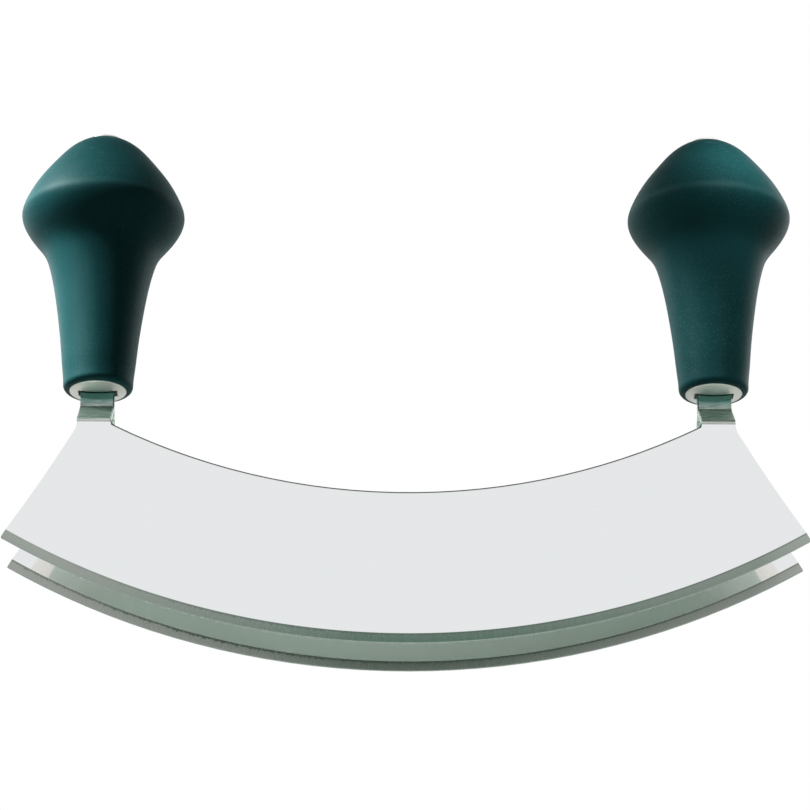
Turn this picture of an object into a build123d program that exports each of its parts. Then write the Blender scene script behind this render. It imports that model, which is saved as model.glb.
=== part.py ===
from build123d import *
import math
import os

# Two-bladed mezzaluna (rocking knife), in millimetres.
# X runs along the blades, -Y is the front and +Z is up.
# The origin lies midway between the blades, level with the lowest points of their cutting edges.

# Blades, as seen from the front. Both are the same sheet-steel pressing, turned about.
blade_length = 220.4
blade_height = 43.6
edge_radius = 218.6
spine_radius = 175.5
sheet = 1.5
blade_pitch = 23.0
tip_height = 0.4
tip_overhang = 24.3
end_sag = 0.4

# Ground V edge and deburred spine
bevel_height = 2.6
edge_land = 0.12
spine_chamfer = 0.3

# Tongues, which rise from the blade ends, bend inwards and stand side by side on the grip axis
tongue_width = 9.4
tongue_foot = 0.5
shoulder_drop = 1.66
tongue_outer_fillet = 5.5
tongue_inner_fillet = 2.0
bend_radius = 1.25
bend_angle = 54.0
tongue_stub = 4.94
tang_depth = 26.0

# Grip, a turned knob on a slim neck
grip_height = 77.9
knob_height = 53.5
knob_radius = 23.0
neck_radius = 9.77
base_round = 1.7
cover_wall = 2.0

# Ferrule, a domed steel disc that closes the neck
ferrule_collar = 1.84
ferrule_height = 3.0
ferrule_dome = 1.0
ferrule_lip_width = 0.4
ferrule_lip_step = 0.15
slot_end_gap = 0.75
slot_side_gap = 0.5

# Tie rod, forked below to take both tongues and plain above
fork_radius = 6.0
fork_foot_gap = 0.5
fork_crown_gap = 0.5
fork_shoulder = 2.0
rod_radius = 2.5
rod_chamfer = 0.5

# Rivets through fork and tongues
rivet_radius = 1.5
rivet_head_radius = 2.4
rivet_head_depth = 1.0
rivet_sink = 0.5
lower_rivet_height = 7.0
rivet_pitch = 11.0

# Cap nut and its washer in the crown of the grip
nut_radius = 5.0
nut_length = 6.0
nut_dome = 0.8
nut_rim_drop = 0.4
nut_edge_round = 0.25
nut_roof = 2.0
rod_end_gap = 0.3
washer_radius = 5.0
washer_thickness = 1.0

# Clearances
press_gap = 0.02
fit_gap = 0.05
free_gap = 0.2
cut_overrun = 5.0

# Share of the room beside a fillet that the fillet may take up
fillet_room_share = 0.96
# Neck and flare of the grip: shares of the knob height, and of the way from neck to knob radius
flare_shares = (
    (0.125, 0.030),
    (0.241, 0.074),
    (0.397, 0.147),
    (0.553, 0.242),
    (0.708, 0.378),
    (0.787, 0.498),
    (0.864, 0.718),
    (0.942, 0.929),
)
# Crown of the grip: shares of the height from knob to top, and of the knob radius
crown_shares = (
    (0.000, 1.000),
    (0.127, 0.967),
    (0.256, 0.903),
    (0.385, 0.824),
    (0.512, 0.730),
    (0.639, 0.627),
    (0.766, 0.515),
    (0.852, 0.419),
    (0.938, 0.281),
)

# Heights and places that follow from the sizes above
edge_drop = edge_radius - math.sqrt(edge_radius**2 - (blade_length / 2) ** 2)
grip_pitch = blade_length - 2 * tip_overhang
tongue_inner = (grip_pitch - tongue_width) / 2
tongue_outer = (grip_pitch + tongue_width) / 2
spine_end = blade_height + spine_radius - math.sqrt(spine_radius**2 - tongue_inner**2)
tongue_start = spine_end + tongue_foot
bend_turn = math.radians(bend_angle)
blade_offset = blade_pitch / 2
tang_offset = sheet / 2
bend_shift = blade_offset - tang_offset
bend_run = (bend_shift - 2 * bend_radius * (1 - math.cos(bend_turn))) / math.sin(bend_turn)
bend_rise = 2 * bend_radius * math.sin(bend_turn) + bend_run * math.cos(bend_turn)
grip_base = tongue_start + bend_rise + tongue_stub
grip_top = grip_base + grip_height
core_base = grip_base + ferrule_height
tang_top = grip_base + tang_depth
fork_base = core_base + fork_foot_gap
fork_top = tang_top + fork_crown_gap + fork_shoulder
nut_rim = grip_top - nut_rim_drop
nut_seat = nut_rim - nut_length
washer_seat = nut_seat - washer_thickness
nut_well_radius = max(nut_radius, washer_radius) + free_gap
rod_top = nut_rim - nut_roof - rod_end_gap
ferrule_radius = neck_radius - ferrule_collar
fork_bore = fork_radius + free_gap
rivet_tip = fork_radius - rivet_sink
rivet_heights = (core_base + lower_rivet_height, core_base + lower_rivet_height + rivet_pitch)


def axis_solid(curve):
    """Turn a closed outline of radius and height about the grip axis."""
    return revolve(Plane.XZ * make_face(curve), Axis.Z)


def upright_cylinder(radius, low, high):
    """A cylinder on the grip axis between two heights."""
    return Pos(0, 0, low) * Cylinder(radius, high - low, align=(Align.CENTER, Align.CENTER, Align.MIN))


def cross_cylinder(radius, height, half_length):
    """A cylinder along Y through the grip axis at one height."""
    return Pos(0, 0, height) * Rot(90, 0, 0) * Cylinder(radius, 2 * half_length)


def nearest_vertex(shape, x, z):
    """The corner of an outline that lies nearest to a point of the front view."""
    return min(shape.vertices(), key=lambda v: (v.X - x) ** 2 + (v.Y - z) ** 2)


def blade_outline():
    """Front view of one blade up to where its tongues start to bend."""
    half = blade_length / 2
    tip_top = edge_drop + tip_height
    shoulder = tongue_start - shoulder_drop
    run = half - tongue_outer
    rise = shoulder - tip_top
    chord = math.hypot(run, rise)
    waist_x = (half + tongue_outer) / 2 - end_sag * rise / chord
    waist_z = (tip_top + shoulder) / 2 - end_sag * run / chord
    outline = ThreePointArc((-half, edge_drop), (0, 0), (half, edge_drop))
    outline += ThreePointArc((-tongue_inner, spine_end), (0, blade_height), (tongue_inner, spine_end))
    for side in (-1, 1):
        outline += Line((side * half, edge_drop), (side * half, tip_top))
        outline += ThreePointArc(
            (side * half, tip_top),
            (side * waist_x, waist_z),
            (side * tongue_outer, shoulder),
        )
        outline += Polyline(
            (side * tongue_outer, shoulder),
            (side * tongue_outer, tongue_start),
            (side * tongue_inner, tongue_start),
            (side * tongue_inner, spine_end),
        )
    face = make_face(outline)
    room = shoulder_drop / math.tan(math.atan2(run, rise) / 2)
    radius = min(tongue_outer_fillet, fillet_room_share * room)
    shoulders = [nearest_vertex(face, side * tongue_outer, shoulder) for side in (-1, 1)]
    return fillet(shoulders, radius)


def tongue_side(shift):
    """One side of the bent tongue in the Y-Z plane, shifted from the middle of the sheet."""
    slip = shift * math.tan(bend_turn / 2)
    corner_lift = bend_radius * math.tan(bend_turn / 2)
    lower = tongue_start + corner_lift
    upper = tongue_start + bend_rise - corner_lift
    return FilletPolyline(
        (-blade_offset + shift, tongue_start - sheet),
        (-blade_offset + shift, lower - slip),
        (-tang_offset + shift, upper - slip),
        (-tang_offset + shift, tang_top),
        radius=(bend_radius - shift, bend_radius + shift),
    )


def tongue():
    """Bent tongue and tang of the front blade on the middle plane of one grip."""
    outer = tongue_side(-sheet / 2)
    inner = tongue_side(sheet / 2)
    foot = Line(outer @ 0, inner @ 0)
    head = Line(outer @ 1, inner @ 1)
    strip = extrude(Plane.YZ * make_face(outer + inner + foot + head), tongue_width / 2, both=True)
    for height in rivet_heights:
        strip -= cross_cylinder(rivet_radius + fit_gap, height, blade_pitch)
    return strip


def edge_grind():
    """Ring that cuts one side of the V edge, turned about the centre of the edge arc."""
    slope = (sheet - edge_land) / 2 / bevel_height
    outside = sheet / 2 + cut_overrun
    section = Polyline(
        (edge_radius - bevel_height, sheet / 2),
        (edge_radius + bevel_height, edge_land / 2 - slope * bevel_height),
        (edge_radius + bevel_height, outside),
        (edge_radius - bevel_height, outside),
        close=True,
    )
    ring = revolve(make_face(section), Axis.Y)
    return Pos(0, 0, edge_radius) * ring


def front_blade():
    """Front blade: flat curved plate, ground edge and two bent tongues, all one sheet."""
    plate = extrude(Plane.XZ * blade_outline(), sheet / 2, both=True)
    ring = edge_grind()
    plate -= ring
    plate -= mirror(ring, Plane.XZ)
    blade = Pos(0, -blade_offset, 0) * plate
    for side in (-1, 1):
        blade += Pos(side * grip_pitch / 2, 0, 0) * tongue()
    corners = blade.edges().filter_by(Axis.Y).filter_by(lambda e: at_spine_end(e.center()))
    blade = fillet(corners, tongue_inner_fillet)
    spine = blade.edges().filter_by(GeomType.CIRCLE).filter_by(lambda e: on_spine(e.radius))
    return chamfer(spine, spine_chamfer)


def at_spine_end(point):
    """True at the corner where the spine meets a tongue."""
    return math.hypot(abs(point.X) - tongue_inner, point.Z - spine_end) < sheet


def on_spine(radius):
    """True for the radius of the spine arc."""
    return abs(radius - spine_radius) < spine_chamfer


def grip_wall(inset):
    """Side of the grip from its base to its top, drawn in by an even amount."""
    flare = knob_radius - neck_radius
    crown = grip_height - knob_height
    points = [
        (neck_radius + share * flare - inset, grip_base + height_share * knob_height)
        for height_share, share in flare_shares
    ]
    points += [
        (share * knob_radius - inset, grip_base + knob_height + height_share * crown)
        for height_share, share in crown_shares
    ]
    return points


def grip_cover():
    """Soft outer skin of the grip, moulded round the core and open for ferrule and nut."""
    start = (neck_radius, grip_base + base_round)
    corner = (neck_radius - base_round, grip_base)
    wall = Spline(start, *grip_wall(0), (0, grip_top), tangents=((0, 1), (-1, 0)))
    base = RadiusArc(corner, start, -base_round)
    close = Polyline(corner, (0, grip_base), (0, grip_top))
    skin = axis_solid(wall + base + close)
    skin -= grip_core_block()
    skin -= upright_cylinder(ferrule_radius + press_gap, grip_base - cut_overrun, core_base)
    skin -= upright_cylinder(nut_well_radius, washer_seat, grip_top + cut_overrun)
    return skin


def grip_core_block():
    """Outer shape of the hard core before it is bored."""
    foot = (neck_radius - cover_wall, core_base)
    top = (0, grip_top - cover_wall)
    wall = Spline(foot, *grip_wall(cover_wall), top, tangents=((0, 1), (-1, 0)))
    close = Polyline(foot, (0, core_base), top)
    return axis_solid(wall + close)


def grip_core():
    """Hard core that is clamped between the fork's shoulder and the cap nut."""
    core = grip_core_block()
    core -= upright_cylinder(fork_bore, core_base - cut_overrun, fork_top)
    core -= upright_cylinder(rod_radius + free_gap, fork_top, grip_top)
    core -= upright_cylinder(nut_well_radius, washer_seat, grip_top)
    return core


def ferrule():
    """Domed disc in the neck of the grip, slotted for the two tongues."""
    lip = ferrule_radius - ferrule_lip_width
    low = grip_base - ferrule_dome
    reach = ferrule_dome - ferrule_lip_step
    sphere_radius = (lip**2 + reach**2) / 2 / reach
    dome = RadiusArc((0, low), (lip, low + reach), -sphere_radius)
    rim = Polyline(
        (lip, low + reach),
        (lip, grip_base),
        (ferrule_radius, grip_base),
        (ferrule_radius, core_base),
        (0, core_base),
        (0, low),
    )
    disc = axis_solid(dome + rim)
    slot_length = tongue_width + 2 * slot_end_gap
    slot_width = 2 * sheet + 2 * slot_side_gap
    slot_height = 2 * (ferrule_height + ferrule_dome + cut_overrun)
    return disc - Pos(0, 0, grip_base) * Box(slot_length, slot_width, slot_height)


def tie_rod():
    """Forked foot that straddles the tangs, with the rod that runs up to the cap nut."""
    rod = upright_cylinder(fork_radius, fork_base, fork_top)
    rod += chamfer(
        upright_cylinder(rod_radius, fork_base, rod_top).edges().sort_by(Axis.Z)[-1],
        rod_chamfer,
    )
    slot_width = 2 * (sheet + fit_gap)
    slot_depth = fork_top - fork_shoulder - fork_base
    slot = Box(2 * fork_radius, slot_width, slot_depth, align=(Align.CENTER, Align.CENTER, Align.MIN))
    rod -= Pos(0, 0, fork_base) * slot
    for height in rivet_heights:
        rod -= rivet_solid(height, fit_gap, fork_radius)
    return rod


def rivet_solid(height, gap, tip):
    """Countersunk rivet along Y, or with a gap and a longer tip the hole that it fills."""
    half = [
        (0, 0),
        (rivet_radius + gap, 0),
        (rivet_radius + gap, rivet_tip - rivet_head_depth),
        (rivet_head_radius + gap, rivet_tip),
    ]
    if tip > rivet_tip:
        half.append((rivet_head_radius + gap, tip))
    half.append((0, max(tip, rivet_tip)))
    side = revolve(make_face(Polyline(*half, close=True)), Axis.Y)
    return Pos(0, 0, height) * (side + mirror(side, Plane.XZ))


def on_nut_wall(radius):
    """True for the radius of the cap nut's wall."""
    return abs(radius - nut_radius) < nut_edge_round


def cap_nut():
    """Round cap nut with a blind bore, its low dome standing just proud of the crown."""
    dome_radius = (nut_radius**2 + nut_dome**2) / 2 / nut_dome
    dome = RadiusArc((nut_radius, nut_rim), (0, nut_rim + nut_dome), -dome_radius)
    wall = Polyline((0, nut_rim + nut_dome), (0, nut_seat), (nut_radius, nut_seat), (nut_radius, nut_rim))
    nut = axis_solid(dome + wall)
    rims = nut.edges().filter_by(GeomType.CIRCLE).filter_by(lambda e: on_nut_wall(e.radius))
    rim_edge = rims.sort_by(Axis.Z)[-1]
    nut = fillet(rim_edge, nut_edge_round)
    return nut - upright_cylinder(rod_radius + fit_gap, nut_seat, nut_rim - nut_roof)


def nut_washer():
    """Plain washer that carries the nut on the core."""
    disc = upright_cylinder(washer_radius, washer_seat, nut_seat)
    return disc - upright_cylinder(rod_radius + free_gap, washer_seat, nut_seat)


def grip_nodes():
    """Every piece of one handle, centred on its own upright axis."""
    return {
        "grip_cover": grip_cover(),
        "grip_core": grip_core(),
        "ferrule": ferrule(),
        "tie_rod": tie_rod(),
        "lower_rivet": rivet_solid(rivet_heights[0], 0, rivet_tip),
        "upper_rivet": rivet_solid(rivet_heights[1], 0, rivet_tip),
        "nut_washer": nut_washer(),
        "cap_nut": cap_nut(),
    }


def all_nodes():
    """Every piece of the mezzaluna by name, in its place."""
    blade = front_blade()
    nodes = {"front_blade": blade, "rear_blade": mirror(blade, Plane.XZ)}
    handle = grip_nodes()
    for side_name, side in (("left", -1), ("right", 1)):
        for piece_name, piece in handle.items():
            nodes[side_name + "_" + piece_name] = Pos(side * grip_pitch / 2, 0, 0) * piece
    return nodes


os.makedirs("parts", exist_ok=True)
for name, solid in all_nodes().items():
    export_step(solid, "parts/" + name + ".step")
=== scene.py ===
import math
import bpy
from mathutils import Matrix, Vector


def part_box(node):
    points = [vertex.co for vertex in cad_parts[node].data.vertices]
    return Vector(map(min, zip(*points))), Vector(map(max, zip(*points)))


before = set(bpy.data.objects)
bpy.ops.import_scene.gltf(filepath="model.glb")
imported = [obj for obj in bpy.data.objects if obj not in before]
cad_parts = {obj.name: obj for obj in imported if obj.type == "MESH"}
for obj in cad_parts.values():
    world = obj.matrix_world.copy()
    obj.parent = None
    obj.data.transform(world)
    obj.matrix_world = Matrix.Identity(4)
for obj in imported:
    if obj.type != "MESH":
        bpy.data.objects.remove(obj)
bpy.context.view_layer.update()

import types

import bpy
from mathutils import Matrix, Vector

# Looks, light and camera for a two-bladed rocking knife with two upright grips.
# Metres. X runs along the blades, -Y is the front and +Z is up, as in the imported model.

blade_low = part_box("front_blade")[0]
grip_low, grip_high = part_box("left_grip_cover")
ferrule_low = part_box("left_ferrule")[0].z
grip_axis = -(grip_low.x + grip_high.x) / 2

# Camera, with angles in degrees and lens lengths in millimetres
camera_place = (-0.0099456, -1.0771993, -0.3786503)
camera_pitch = 22.812
camera_yaw = -0.5139
camera_roll = 0.0738
sensor_width = 36.0
focal_length = 186.403

# Blades: the edge and the spine are arcs about points this high above the floor
edge_radius = 0.2186
spine_centre = 0.2191
spine_radius = 0.1755
bevel_height = 0.0026
sheet_thickness = 0.0015
tongue_start = 0.064
tongue_inner = 0.0812

# Levels of the room: for matt surfaces, and as metal sees its sides and its ceiling
ambient_level = 0.018
side_level = 0.40
front_ceiling_level = 0.60
back_ceiling_level = 0.15

# The floor: its own glow, how it takes the lamps' light, and as matt surfaces see it
floor_level = 0.78
floor_colour = (0.99, 1.0, 0.98, 1)
floor_catch_colour = (0.14, 0.14, 0.135, 1)
floor_bounce_colour = (0.07, 0.075, 0.07, 1)

# Where the blades' finishes and painted shades start or end: ranges past the place that each is
# measured from
grind_border = (-0.00004, 0.00004)
honed_border = (-0.00028, -0.00018)
line_border = (-0.00010, -0.00002)
sheet_middle_border = (-0.00003, 0.00003)
inner_face_border = (0.0002, 0.0003)
knife_middle_border = (-0.0001, 0.0001)
crease_foot = (-0.0001, 0.0)
tongue_foot = (0.0, 0.0001)
bend_foot = (0.0002, 0.0003)
bend_top = (0.0010, 0.0012)
stub_foot = (-0.0049, -0.0043)
joint_fade = (-0.0036, -0.0012)
spine_border = (0.00040, 0.00052)

# Where painted shades change along the blades: ranges of x, or of the distance from the middle
satin_fade = (0.078, 0.098)
left_fade = (-0.10, -0.01)
right_fade = (0.02, 0.10)
right_tip_fade = (0.096, 0.110)
nick_fade = (0.0, 0.05)
outer_line_fade = (-0.10, -0.05)
inner_line_fade = (0.055, 0.105)

# The satin's painted pale reflection at the tip starts on a slanted line, where the distance
# from the middle plus tip_slant times z passes through tip_border
tip_slant = 0.52
tip_border = (0.1184, 0.1187)

# The serrated painted dark reflection along the top of the ground edge
line_width = 0.00034
nick_length = 0.00055

# Where the finishes and the painted rim highlight of the grips start or end: heights, and ranges
# past the knob's rim
knob_rim = grip_low.z + 0.0535
crown_fade = (0.128, 0.140)
rim_foot = (-0.0004, 0.0006)
rim_top = (0.0012, 0.0026)

# Ranges of a noise texture: nearly all of it, and the clearer part of the tongues' blotches
most = (0.3, 0.7)
blotchy = (0.38, 0.62)

# Linear colours of the blades, some of them painted for what the real steel mirrors
flat_dark = (0.775, 0.792, 0.797, 1)
flat_pale = (0.790, 0.806, 0.811, 1)
# Painted reflections on the satin inner face: greener in the middle, darker outwards, pale at the
# tips
satin_middle_reflection = (0.82, 0.89, 0.82, 1)
satin_outer_reflection = (0.60, 0.67, 0.61, 1)
satin_tip_reflection = (0.95, 0.92, 0.87, 1)
# The tongues' colours are painted: reflections on the slope and the stub, a highlight in the bend,
# and dark reflections at the joint and in the crease
slope_reflection_dark = (0.26, 0.42, 0.34, 1)
slope_reflection_pale = (0.70, 0.82, 0.75, 1)
stub_reflection_dark = (0.15, 0.21, 0.19, 1)
stub_reflection_pale = (0.29, 0.35, 0.32, 1)
bend_highlight_pale = (0.50, 0.53, 0.50, 1)
joint_reflection_dark = (0.080, 0.20, 0.175, 1)
crease_reflection_dark = (0.16, 0.19, 0.17, 1)
# A painted dark reflection along the spine between the tongues
spine_reflection_dark = (0.20, 0.21, 0.20, 1)
# The ground edge's colours are painted reflections: of the floor in front on the outer bevel, of
# the shaded floor between the blades on the inner one, paler towards the tips
outer_bevel_reflection_top = (0.145, 0.208, 0.175, 1)
outer_bevel_reflection_foot = (0.083, 0.154, 0.120, 1)
inner_bevel_reflection_top = (0.083, 0.117, 0.096, 1)
inner_bevel_reflection_foot = (0.137, 0.167, 0.142, 1)
bevel_ends_reflection = (0.60, 0.62, 0.585, 1)
grinding_pale = (0.50, 0.56, 0.53, 1)
# A painted highlight along the honed strip at the edge
honed_highlight_pale = (0.36, 0.42, 0.39, 1)
# A painted dark reflection along the top of the ground edge
dark_reflection_line_dark = (0.07, 0.10, 0.08, 1)

# Linear colours of the grips and of the other steel
teal_dark = (0.007, 0.082, 0.087, 1)
teal_pale = (0.012, 0.100, 0.106, 1)
speck_pale = (0.07, 0.20, 0.20, 1)
scuff_pale = (0.09, 0.22, 0.22, 1)
# A painted highlight ring at the knob's rim, patchy
rim_highlight_pale = (0.04, 0.17, 0.17, 1)
core_dark = (0.030, 0.032, 0.034, 1)
core_pale = (0.055, 0.058, 0.06, 1)
polished_colour = (0.95, 0.96, 0.91)
turned_colour = (0.62, 0.63, 0.63)


# Node helpers


class Tree:
    """A node tree that is filled one node at a time."""

    def __init__(self, owner):
        owner.use_nodes = True
        self.tree = owner.node_tree
        self.tree.nodes.clear()

    def put(self, socket, value):
        if isinstance(value, bpy.types.NodeSocket):
            self.tree.links.new(value, socket)
        else:
            socket.default_value = value

    def add(self, kind, inputs=None, **settings):
        made = self.tree.nodes.new("ShaderNode" + kind)
        for name, value in settings.items():
            setattr(made, name, value)
        for key, value in (inputs or {}).items():
            self.put(made.inputs[key], value)
        return made

    def math(self, operation, *values, clamp=False):
        made = self.add("Math", dict(enumerate(values)), operation=operation, use_clamp=clamp)
        return made.outputs[0]

    def plus(self, first, second, clamp=False):
        return self.math("ADD", first, second, clamp=clamp)

    def minus(self, first, second):
        return self.math("SUBTRACT", first, second)

    def times(self, first, second):
        return self.math("MULTIPLY", first, second)

    def span(self, first, second):
        """The length of the vector with these two components."""
        squares = self.plus(self.times(first, first), self.times(second, second))
        return self.math("SQRT", squares)

    def spread(self, value, low, high, to_low=0.0, to_high=1.0, smooth=False):
        """value from low..high onto to_low..to_high, held at the ends."""
        made = self.add(
            "MapRange",
            {0: value, 1: low, 2: high, 3: to_low, 4: to_high},
            interpolation_type="SMOOTHSTEP" if smooth else "LINEAR",
            clamp=True,
        )
        return made.outputs[0]

    def stripe(self, value, rise, fall):
        """1 from the end of rise to the start of fall, fading to 0 over each of the two ranges."""
        return self.times(self.spread(value, *rise), self.spread(value, *fall, 1.0, 0.0))

    def vector(self, x, y, z):
        return self.add("CombineXYZ", {0: x, 1: y, 2: z}).outputs[0]

    def parts(self, vector):
        made = self.add("SeparateXYZ", {0: vector})
        return made.outputs[0], made.outputs[1], made.outputs[2]

    def scaled(self, vector, scale):
        made = self.add("VectorMath", {0: vector, 1: scale}, operation="MULTIPLY")
        return made.outputs[0]

    def noise(self, vector, scale, detail=3.0, roughness=0.55):
        inputs = {"Vector": vector, "Scale": scale, "Detail": detail, "Roughness": roughness}
        return self.add("TexNoise", inputs).outputs[0]

    def mix(self, share, first, second):
        """A colour that goes from first to second."""
        made = self.add("Mix", data_type="RGBA")
        self.put(made.inputs[0], share)
        self.put(made.inputs[6], first)
        self.put(made.inputs[7], second)
        return made.outputs[2]

    def blend(self, share, first, second):
        """A number that goes from first to second."""
        made = self.add("Mix", data_type="FLOAT")
        self.put(made.inputs[0], share)
        self.put(made.inputs[2], first)
        self.put(made.inputs[3], second)
        return made.outputs[0]

    def place(self):
        """Object coordinates, which are the model's own, because every piece stays where it is."""
        return self.add("TexCoord").outputs["Object"]


def past(place, border):
    """The range of a border around the place that it is measured from."""
    return tuple(place + step for step in border)


def new_material(name):
    material = bpy.data.materials.new(name)
    tree = Tree(material)
    shader = tree.add("BsdfPrincipled")
    output = tree.add("OutputMaterial")
    tree.put(output.inputs[0], shader.outputs[0])
    return material, tree, shader


def bump(tree, shader, height, depth, strength=1.0):
    made = tree.add("Bump", {"Strength": strength, "Distance": depth, "Height": height})
    tree.put(shader.inputs["Normal"], made.outputs[0])


# Materials


def blade_zones(tree, place):
    """Coordinates on the blades and masks for where each finish and each painted reflection and
    highlight lies.
    """
    zone = types.SimpleNamespace()
    zone.x, zone.y, zone.z = tree.parts(place)
    below = tree.minus(edge_radius, zone.z)
    zone.radius = tree.span(zone.x, below)
    zone.along = tree.times(tree.math("ARCTAN2", zone.x, below), edge_radius)
    zone.outward = tree.math("ABSOLUTE", zone.x)
    depth = tree.math("ABSOLUTE", zone.y)
    middle_y = -blade_low.y - sheet_thickness / 2
    inner_y = -blade_low.y - sheet_thickness

    # The ground edge: its blend, its fall from top to foot along which its painted reflection
    # changes, and the honed strip at the foot, painted paler as a highlight
    zone.grind_top = edge_radius - bevel_height
    zone.ground = tree.spread(zone.radius, *past(zone.grind_top, grind_border))
    zone.drop = tree.spread(zone.radius, zone.grind_top, edge_radius)
    zone.honed = tree.spread(zone.radius, *past(edge_radius, honed_border))
    zone.inner_side = tree.spread(depth, *past(middle_y, sheet_middle_border), 1.0, 0.0)

    # The tongues: a painted dark reflection in the crease and a painted highlight in the bend at
    # their start, and a stub whose painted reflection fades into a painted dark reflection at the
    # joint
    foot = past(tongue_start, bend_foot)
    zone.tongues = tree.spread(zone.z, *past(tongue_start, tongue_foot))
    zone.bend = tree.stripe(zone.z, foot, past(tongue_start, bend_top))
    zone.crease = tree.stripe(zone.z, past(tongue_start, crease_foot), foot)
    zone.stub = tree.spread(zone.z, *past(ferrule_low, stub_foot))
    zone.joint = tree.spread(zone.z, *past(ferrule_low, joint_fade), smooth=True)

    # The spine between the tongues, painted with a dark reflection
    reach = tree.span(zone.x, tree.minus(spine_centre, zone.z))
    near_spine = tree.spread(reach, *past(spine_radius, spine_border), 1.0, 0.0)
    zone.spine = tree.times(near_spine, tree.math("LESS_THAN", zone.outward, tongue_inner))

    # The inner face of the front blade, which is satin and shows as a dull band in the rear one
    within = tree.spread(tree.minus(depth, inner_y), *inner_face_border, 1.0, 0.0)
    flat_inside = tree.times(within, tree.minus(1.0, zone.tongues))
    front_half = tree.spread(zone.y, *knife_middle_border, 1.0, 0.0)
    zone.satin = tree.times(flat_inside, front_half)
    return zone


def blade_textures(tree, place, zone):
    """Brushing on the flats, blotches on the tongues, and grinding marks, and nicks that make the
    painted dark line at the edge serrated.
    """
    texture = types.SimpleNamespace()
    lengthwise = tree.vector(tree.times(zone.x, 0.012), tree.times(zone.y, 0.6), zone.z)
    crosswise = tree.vector(zone.along, tree.times(zone.y, 0.05), tree.times(zone.radius, 0.04))
    edgewise = tree.vector(zone.along, 0.0, tree.times(zone.radius, 0.5))
    stretched = tree.scaled(place, (0.35, 1.0, 2.4))
    texture.brushing = tree.noise(lengthwise, scale=5200.0, detail=4.0)
    texture.patches = tree.noise(place, scale=38.0)
    texture.blotches = tree.noise(stretched, scale=620.0, roughness=0.6)
    texture.grinding = tree.noise(crosswise, scale=2100.0, detail=4.0, roughness=0.7)
    texture.nicks = tree.noise(edgewise, scale=1500.0, detail=2.0, roughness=0.7)
    return texture


def flat_colour(tree, zone, texture):
    """The sheet above the ground edge: flats, satin inside, tongues and spine, with painted
    reflections and highlights on the satin, tongues and spine.
    """
    colour = tree.mix(tree.spread(texture.brushing, *most), flat_dark, flat_pale)
    # The satin's colour is painted reflection: greener in the middle, darker outwards, pale at the
    # tips
    satin = tree.mix(tree.spread(zone.outward, *satin_fade), satin_middle_reflection, satin_outer_reflection)
    slant = tree.plus(zone.outward, tree.times(zone.z, tip_slant))
    satin = tree.mix(tree.spread(slant, *tip_border), satin, satin_tip_reflection)
    colour = tree.mix(zone.satin, colour, satin)
    # The tongues' colours are painted reflections, with a painted highlight in the bend and painted
    # dark reflections at the joint and in the crease
    slope = tree.mix(tree.spread(texture.blotches, 0.38, 0.60), slope_reflection_dark, slope_reflection_pale)
    stub = tree.mix(tree.spread(texture.blotches, *blotchy), stub_reflection_dark, stub_reflection_pale)
    tongue = tree.mix(zone.stub, slope, stub)
    tongue = tree.mix(zone.bend, tongue, bend_highlight_pale)
    tongue = tree.mix(zone.joint, tongue, joint_reflection_dark)
    colour = tree.mix(zone.tongues, colour, tongue)
    colour = tree.mix(tree.times(zone.crease, 0.7), colour, crease_reflection_dark)
    # A painted dark reflection along the spine
    return tree.mix(zone.spine, colour, spine_reflection_dark)


def ground_colour(tree, zone, texture):
    """The ground edge, painted with reflections: dark in the middle of the knife and paler towards
    the tips, with a painted highlight on the honed strip at the foot.
    """
    outer = tree.mix(zone.drop, outer_bevel_reflection_top, outer_bevel_reflection_foot)
    inner = tree.mix(zone.drop, inner_bevel_reflection_top, inner_bevel_reflection_foot)
    colour = tree.mix(zone.inner_side, outer, inner)
    # Painted paler reflections towards the tips
    left_end = tree.spread(zone.x, *left_fade, 0.62, 0.0)
    right_end = tree.spread(zone.x, *right_fade, 0.0, 0.36)
    right_tip = tree.spread(zone.x, *right_tip_fade, 0.0, 0.30)
    ends = tree.plus(tree.plus(left_end, right_end), right_tip)
    colour = tree.mix(ends, colour, bevel_ends_reflection)
    colour = tree.mix(tree.spread(texture.grinding, *most, 0.0, 0.10), colour, grinding_pale)
    # A painted highlight along the honed strip
    return tree.mix(zone.honed, colour, honed_highlight_pale)


def dark_reflection_line(tree, zone, texture):
    """How dark the painted dark reflection is: a serrated line that runs along the top of the
    ground edge.
    """
    nick_share = tree.spread(zone.x, *nick_fade, 1.0, 0.15)
    nick_reach = tree.spread(texture.nicks, 0.4, 0.7, 0.0, nick_length)
    reach = tree.plus(line_width, tree.times(nick_share, nick_reach))
    past_top = tree.minus(zone.radius, zone.grind_top)
    from_top = tree.spread(past_top, *line_border)
    line = tree.times(from_top, tree.math("LESS_THAN", past_top, reach))
    outer_share = tree.spread(zone.x, *outer_line_fade, 0.05, 0.38)
    inner_share = tree.spread(zone.outward, *inner_line_fade, 0.90, 0.40)
    return tree.times(line, tree.blend(zone.inner_side, outer_share, inner_share))


def blade_rough(tree, zone, texture):
    brushed = tree.spread(texture.brushing, 0.25, 0.75, 0.045, 0.07)
    rough = tree.plus(brushed, tree.spread(texture.patches, *most, -0.01, 0.01))
    rough = tree.blend(zone.satin, rough, 0.30)
    slope = tree.spread(texture.blotches, *blotchy, 0.40, 0.30)
    stub = tree.spread(texture.blotches, *blotchy, 0.16, 0.08)
    rough = tree.blend(zone.tongues, rough, tree.blend(zone.stub, slope, stub))
    return tree.blend(zone.ground, rough, tree.spread(texture.grinding, *most, 0.22, 0.32))


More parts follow.
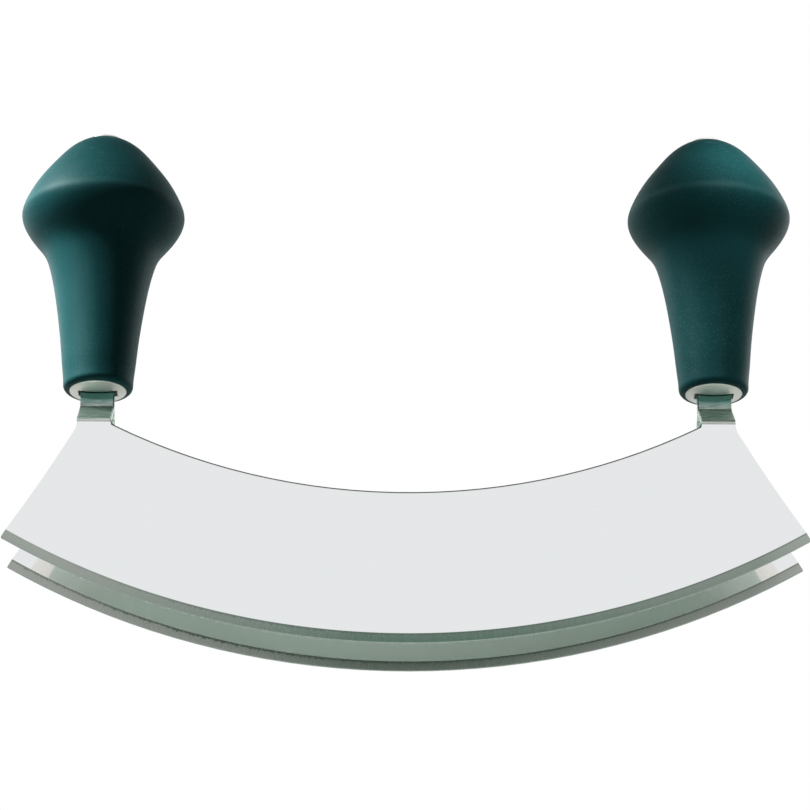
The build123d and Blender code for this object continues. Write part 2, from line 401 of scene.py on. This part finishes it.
def blade_steel():
    """Sheet steel: faintly brushed along its length, satin inside, with a cross-ground V edge, its
    colour painted with reflections and highlights.
    """
    material, tree, shader = new_material("blade_steel")
    place = tree.place()
    zone = blade_zones(tree, place)
    texture = blade_textures(tree, place, zone)
    sheet = flat_colour(tree, zone, texture)
    edge = ground_colour(tree, zone, texture)
    colour = tree.mix(zone.ground, sheet, edge)
    # A painted dark reflection along the top of the ground edge
    colour = tree.mix(dark_reflection_line(tree, zone, texture), colour, dark_reflection_line_dark)
    tree.put(shader.inputs["Base Color"], colour)
    tree.put(shader.inputs["Roughness"], blade_rough(tree, zone, texture))
    shader.inputs["Metallic"].default_value = 1.0
    marks = tree.blend(zone.ground, texture.brushing, texture.grinding)
    bump(tree, shader, marks, depth=0.000003, strength=0.2)
    return material


def turned_steel(name, colour, rough, ring_scale):
    """Steel turned on the grip axis: fine rings round it and a few hair scratches."""
    material, tree, shader = new_material(name)
    place = tree.place()
    x, y, z = tree.parts(place)
    radius = tree.span(tree.minus(tree.math("ABSOLUTE", x), grip_axis), y)
    turning = tree.noise(tree.vector(radius, 0.0, z), ring_scale, detail=2.0)
    scratches = tree.noise(place, scale=900.0, detail=4.0, roughness=0.7)
    pale = colour + (1,)
    dark = tuple(0.86 * c for c in colour) + (1,)
    tree.put(shader.inputs["Base Color"], tree.mix(tree.spread(turning, *most), dark, pale))
    scratched = tree.spread(scratches, 0.45, 0.75, 0.0, 0.06)
    roughness = tree.plus(tree.spread(turning, *most, *rough), scratched)
    tree.put(shader.inputs["Roughness"], roughness)
    shader.inputs["Metallic"].default_value = 1.0
    bump(tree, shader, turning, depth=0.0000024)
    return material


def soft_grip():
    """Soft-touch rubber: deep teal and matt, speckled, scuffed on the crown and with a painted
    highlight ring at the rim.
    """
    material, tree, shader = new_material("soft_grip")
    place = tree.place()
    z = tree.parts(place)[2]
    grain = tree.noise(place, scale=2300.0, roughness=0.6)
    cells = tree.add("TexVoronoi", {"Vector": place, "Scale": 1500.0}).outputs["Distance"]
    specks = tree.spread(cells, 0.10, 0.30, 1.0, 0.0)
    clouds = tree.noise(place, scale=70.0, detail=4.0, roughness=0.6)
    handled = tree.noise(place, scale=28.0, detail=2.0)
    stretched = tree.scaled(place, (0.22, 0.8, 1.9))
    streaks = tree.noise(stretched, scale=1100.0, roughness=0.65)

    speckled = tree.times(specks, tree.spread(handled, 0.40, 0.60, 0.10, 0.75))
    crown = tree.spread(z, *crown_fade, 0.0, 0.5)
    scuffs = tree.times(tree.spread(streaks, 0.60, 0.70), crown)
    # A painted highlight ring at the knob's rim, patchy
    rim = tree.stripe(z, past(knob_rim, rim_foot), past(knob_rim, rim_top))
    rim_highlight = tree.times(rim, tree.spread(handled, 0.35, 0.60, 0.20, 0.55))

    colour = tree.mix(tree.spread(clouds, *most), teal_dark, teal_pale)
    colour = tree.mix(speckled, colour, speck_pale)
    colour = tree.mix(scuffs, colour, scuff_pale)
    colour = tree.mix(rim_highlight, colour, rim_highlight_pale)
    tree.put(shader.inputs["Base Color"], colour)
    rough = tree.spread(grain, *most, 0.48, 0.60)
    rough = tree.plus(rough, tree.spread(handled, *most, -0.05, 0.03))
    tree.put(shader.inputs["Roughness"], rough)
    shader.inputs["Specular IOR Level"].default_value = 0.12
    height = tree.plus(grain, tree.times(specks, 0.5))
    bump(tree, shader, height, depth=0.00005, strength=0.5)
    return material


def hard_core():
    """Glass-filled nylon of the hidden grip core."""
    material, tree, shader = new_material("hard_core")
    stretched = tree.scaled(tree.place(), (1.0, 1.0, 0.2))
    fibres = tree.noise(stretched, scale=1800.0, roughness=0.7)
    colour = tree.mix(tree.spread(fibres, 0.35, 0.7), core_dark, core_pale)
    tree.put(shader.inputs["Base Color"], colour)
    tree.put(shader.inputs["Roughness"], tree.spread(fibres, *most, 0.38, 0.55))
    bump(tree, shader, fibres, depth=0.00003, strength=0.4)
    return material


def dress(nodes):
    """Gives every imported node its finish."""
    polished = turned_steel("polished_steel", polished_colour, (0.60, 0.66), ring_scale=5200.0)
    turned = turned_steel("turned_steel", turned_colour, (0.22, 0.36), ring_scale=3800.0)
    finishes = {
        "blade": blade_steel(),
        "ferrule": polished,
        "cap_nut": polished,
        "tie_rod": turned,
        "lower_rivet": turned,
        "upper_rivet": turned,
        "nut_washer": turned,
        "grip_cover": soft_grip(),
        "grip_core": hard_core(),
    }
    for name, thing in nodes.items():
        kind = name.split("_", 1)[1]
        for slot in thing.material_slots:
            slot.material = finishes[kind]


# Floor, lights, world and camera


def make_floor():
    """A pale floor, seen only from above: the photograph's camera looks up past its underside."""
    half = 3.0
    height = -0.0001
    corners = [(-half, -half), (half, -half), (half, half), (-half, half)]
    mesh = bpy.data.meshes.new("floor")
    mesh.from_pydata([(x, y, height) for x, y in corners], [], [(0, 1, 2, 3)])
    thing = bpy.data.objects.new("floor", mesh)
    bpy.context.scene.collection.objects.link(thing)
    material = bpy.data.materials.new("floor")
    tree = Tree(material)
    path = tree.add("LightPath")
    seen = tree.plus(path.outputs["Is Camera Ray"], path.outputs["Is Glossy Ray"])
    seen = tree.plus(seen, path.outputs["Is Transmission Ray"], clamp=True)
    glow = tree.add("Emission", {"Color": floor_colour, "Strength": floor_level})
    catch = tree.add("BsdfDiffuse", {"Color": floor_catch_colour})
    pale = tree.add("AddShader", {0: glow.outputs[0], 1: catch.outputs[0]})
    quiet = tree.add("BsdfDiffuse", {"Color": floor_bounce_colour})
    shown = tree.add("MixShader", {0: seen, 1: quiet.outputs[0], 2: pale.outputs[0]})
    clear = tree.add("BsdfTransparent")
    below = tree.add("NewGeometry").outputs["Backfacing"]
    sided = tree.add("MixShader", {0: below, 1: shown.outputs[0], 2: clear.outputs[0]})
    output = tree.add("OutputMaterial")
    tree.put(output.inputs[0], sided.outputs[0])
    mesh.materials.append(material)


def make_world():
    """White to the camera. Metal sees white in front and behind, greyer sides and a dim ceiling."""
    world = bpy.data.worlds.new("studio")
    world.cycles.sampling_method = "NONE"
    bpy.context.scene.world = world
    tree = Tree(world)
    path = tree.add("LightPath")
    x, y, z = tree.parts(tree.add("TexCoord").outputs["Generated"])
    bearing = tree.math("ABSOLUTE", tree.math("ARCTAN2", x, tree.times(y, -1.0)))
    front_edge = (math.radians(16), math.radians(30))
    back_edge = (math.radians(80), math.radians(110))
    ceiling_edge = (math.sin(math.radians(38)), math.sin(math.radians(52)))
    front = tree.spread(bearing, *front_edge, 1.0, side_level, smooth=True)
    behind = tree.spread(bearing, *back_edge, smooth=True)
    ring = tree.math("MAXIMUM", front, behind)
    low = tree.spread(z, *ceiling_edge, 1.0, 0.0, smooth=True)
    ceiling = tree.spread(y, -0.35, -0.10, front_ceiling_level, back_ceiling_level, smooth=True)
    room = tree.blend(low, ceiling, ring)
    glossy, transmission = path.outputs["Is Glossy Ray"], path.outputs["Is Transmission Ray"]
    mirrored = tree.plus(glossy, transmission, clamp=True)
    level = tree.blend(mirrored, ambient_level, room)
    level = tree.blend(path.outputs["Is Camera Ray"], level, 1.0)
    shade = tree.add("Background", {"Color": (1, 1, 1, 1), "Strength": level})
    output = tree.add("OutputWorld")
    tree.put(output.inputs[0], shade.outputs[0])


def lamp_place(target, bearing, height, distance):
    """The point at a distance from target, its bearing from the front (right is plus) and height
    in degrees."""
    turn = math.radians(bearing)
    lift = math.radians(height)
    level = math.cos(lift)
    away = Vector((math.sin(turn) * level, -math.cos(turn) * level, math.sin(lift)))
    return Vector(target) + distance * away


def add_lamp(name, place, target, size, radiance, spread):
    """A square lamp at place that faces target, with the given radiance and spread in degrees."""
    lamp = bpy.data.lights.new(name, "AREA")
    lamp.size = size
    lamp.energy = radiance * math.pi * size * size
    lamp.spread = math.radians(spread)
    thing = bpy.data.objects.new(name, lamp)
    thing.location = place
    aim = Vector(target) - Vector(place)
    thing.rotation_euler = aim.to_track_quat("-Z", "Y").to_euler()
    thing.visible_camera = False
    bpy.context.scene.collection.objects.link(thing)


def make_lights():
    """Gridded lamps on each grip's neck and on the right crown, and two soft ones from behind."""
    left = (-grip_axis, 0.0, 0.080)
    right = (grip_axis, 0.0, 0.086)
    crown = (grip_axis + 0.005, 0.0, 0.132)
    lamps = (
        # name, target, bearing, height, distance, size, radiance, spread
        ("key", left, -80.0, 45.0, 0.45, 0.06, 3.4, 16.5),
        ("front_key", left, -56.0, 46.0, 0.45, 0.06, 1.8, 15.5),
        ("right_key", right, -66.0, 36.0, 0.35, 0.03, 1.25, 9.0),
        ("right_fill", right, 25.0, 40.0, 0.35, 0.03, 0.4, 9.0),
        ("crown_lamp", crown, 14.0, 36.0, 0.35, 0.02, 2.1, 7.0),
        ("back_left", left, -135.0, 25.0, 0.6, 0.4, 1.2, 180.0),
        ("back_right", right, 135.0, 25.0, 0.6, 0.4, 1.2, 180.0),
    )
    for name, target, bearing, height, distance, size, radiance, spread in lamps:
        place = lamp_place(target, bearing, height, distance)
        add_lamp(name, place, target, size, radiance, spread)


def make_camera():
    data = bpy.data.cameras.new("camera")
    data.sensor_width = sensor_width
    data.lens = focal_length
    data.clip_start = 0.01
    data.clip_end = 20.0
    thing = bpy.data.objects.new("camera", data)
    bpy.context.scene.collection.objects.link(thing)
    turn = (
        Matrix.Rotation(math.radians(camera_yaw), 4, "Z")
        @ Matrix.Rotation(math.radians(90.0 + camera_pitch), 4, "X")
        @ Matrix.Rotation(math.radians(camera_roll), 4, "Z")
    )
    thing.matrix_world = Matrix.Translation(camera_place) @ turn
    bpy.context.scene.camera = thing


dress(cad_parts)
make_floor()
make_world()
make_lights()
make_camera()
bpy.context.scene.view_settings.view_transform = "Standard"
bpy.context.scene.cycles.max_bounces = 14
bpy.context.scene.cycles.glossy_bounces = 12
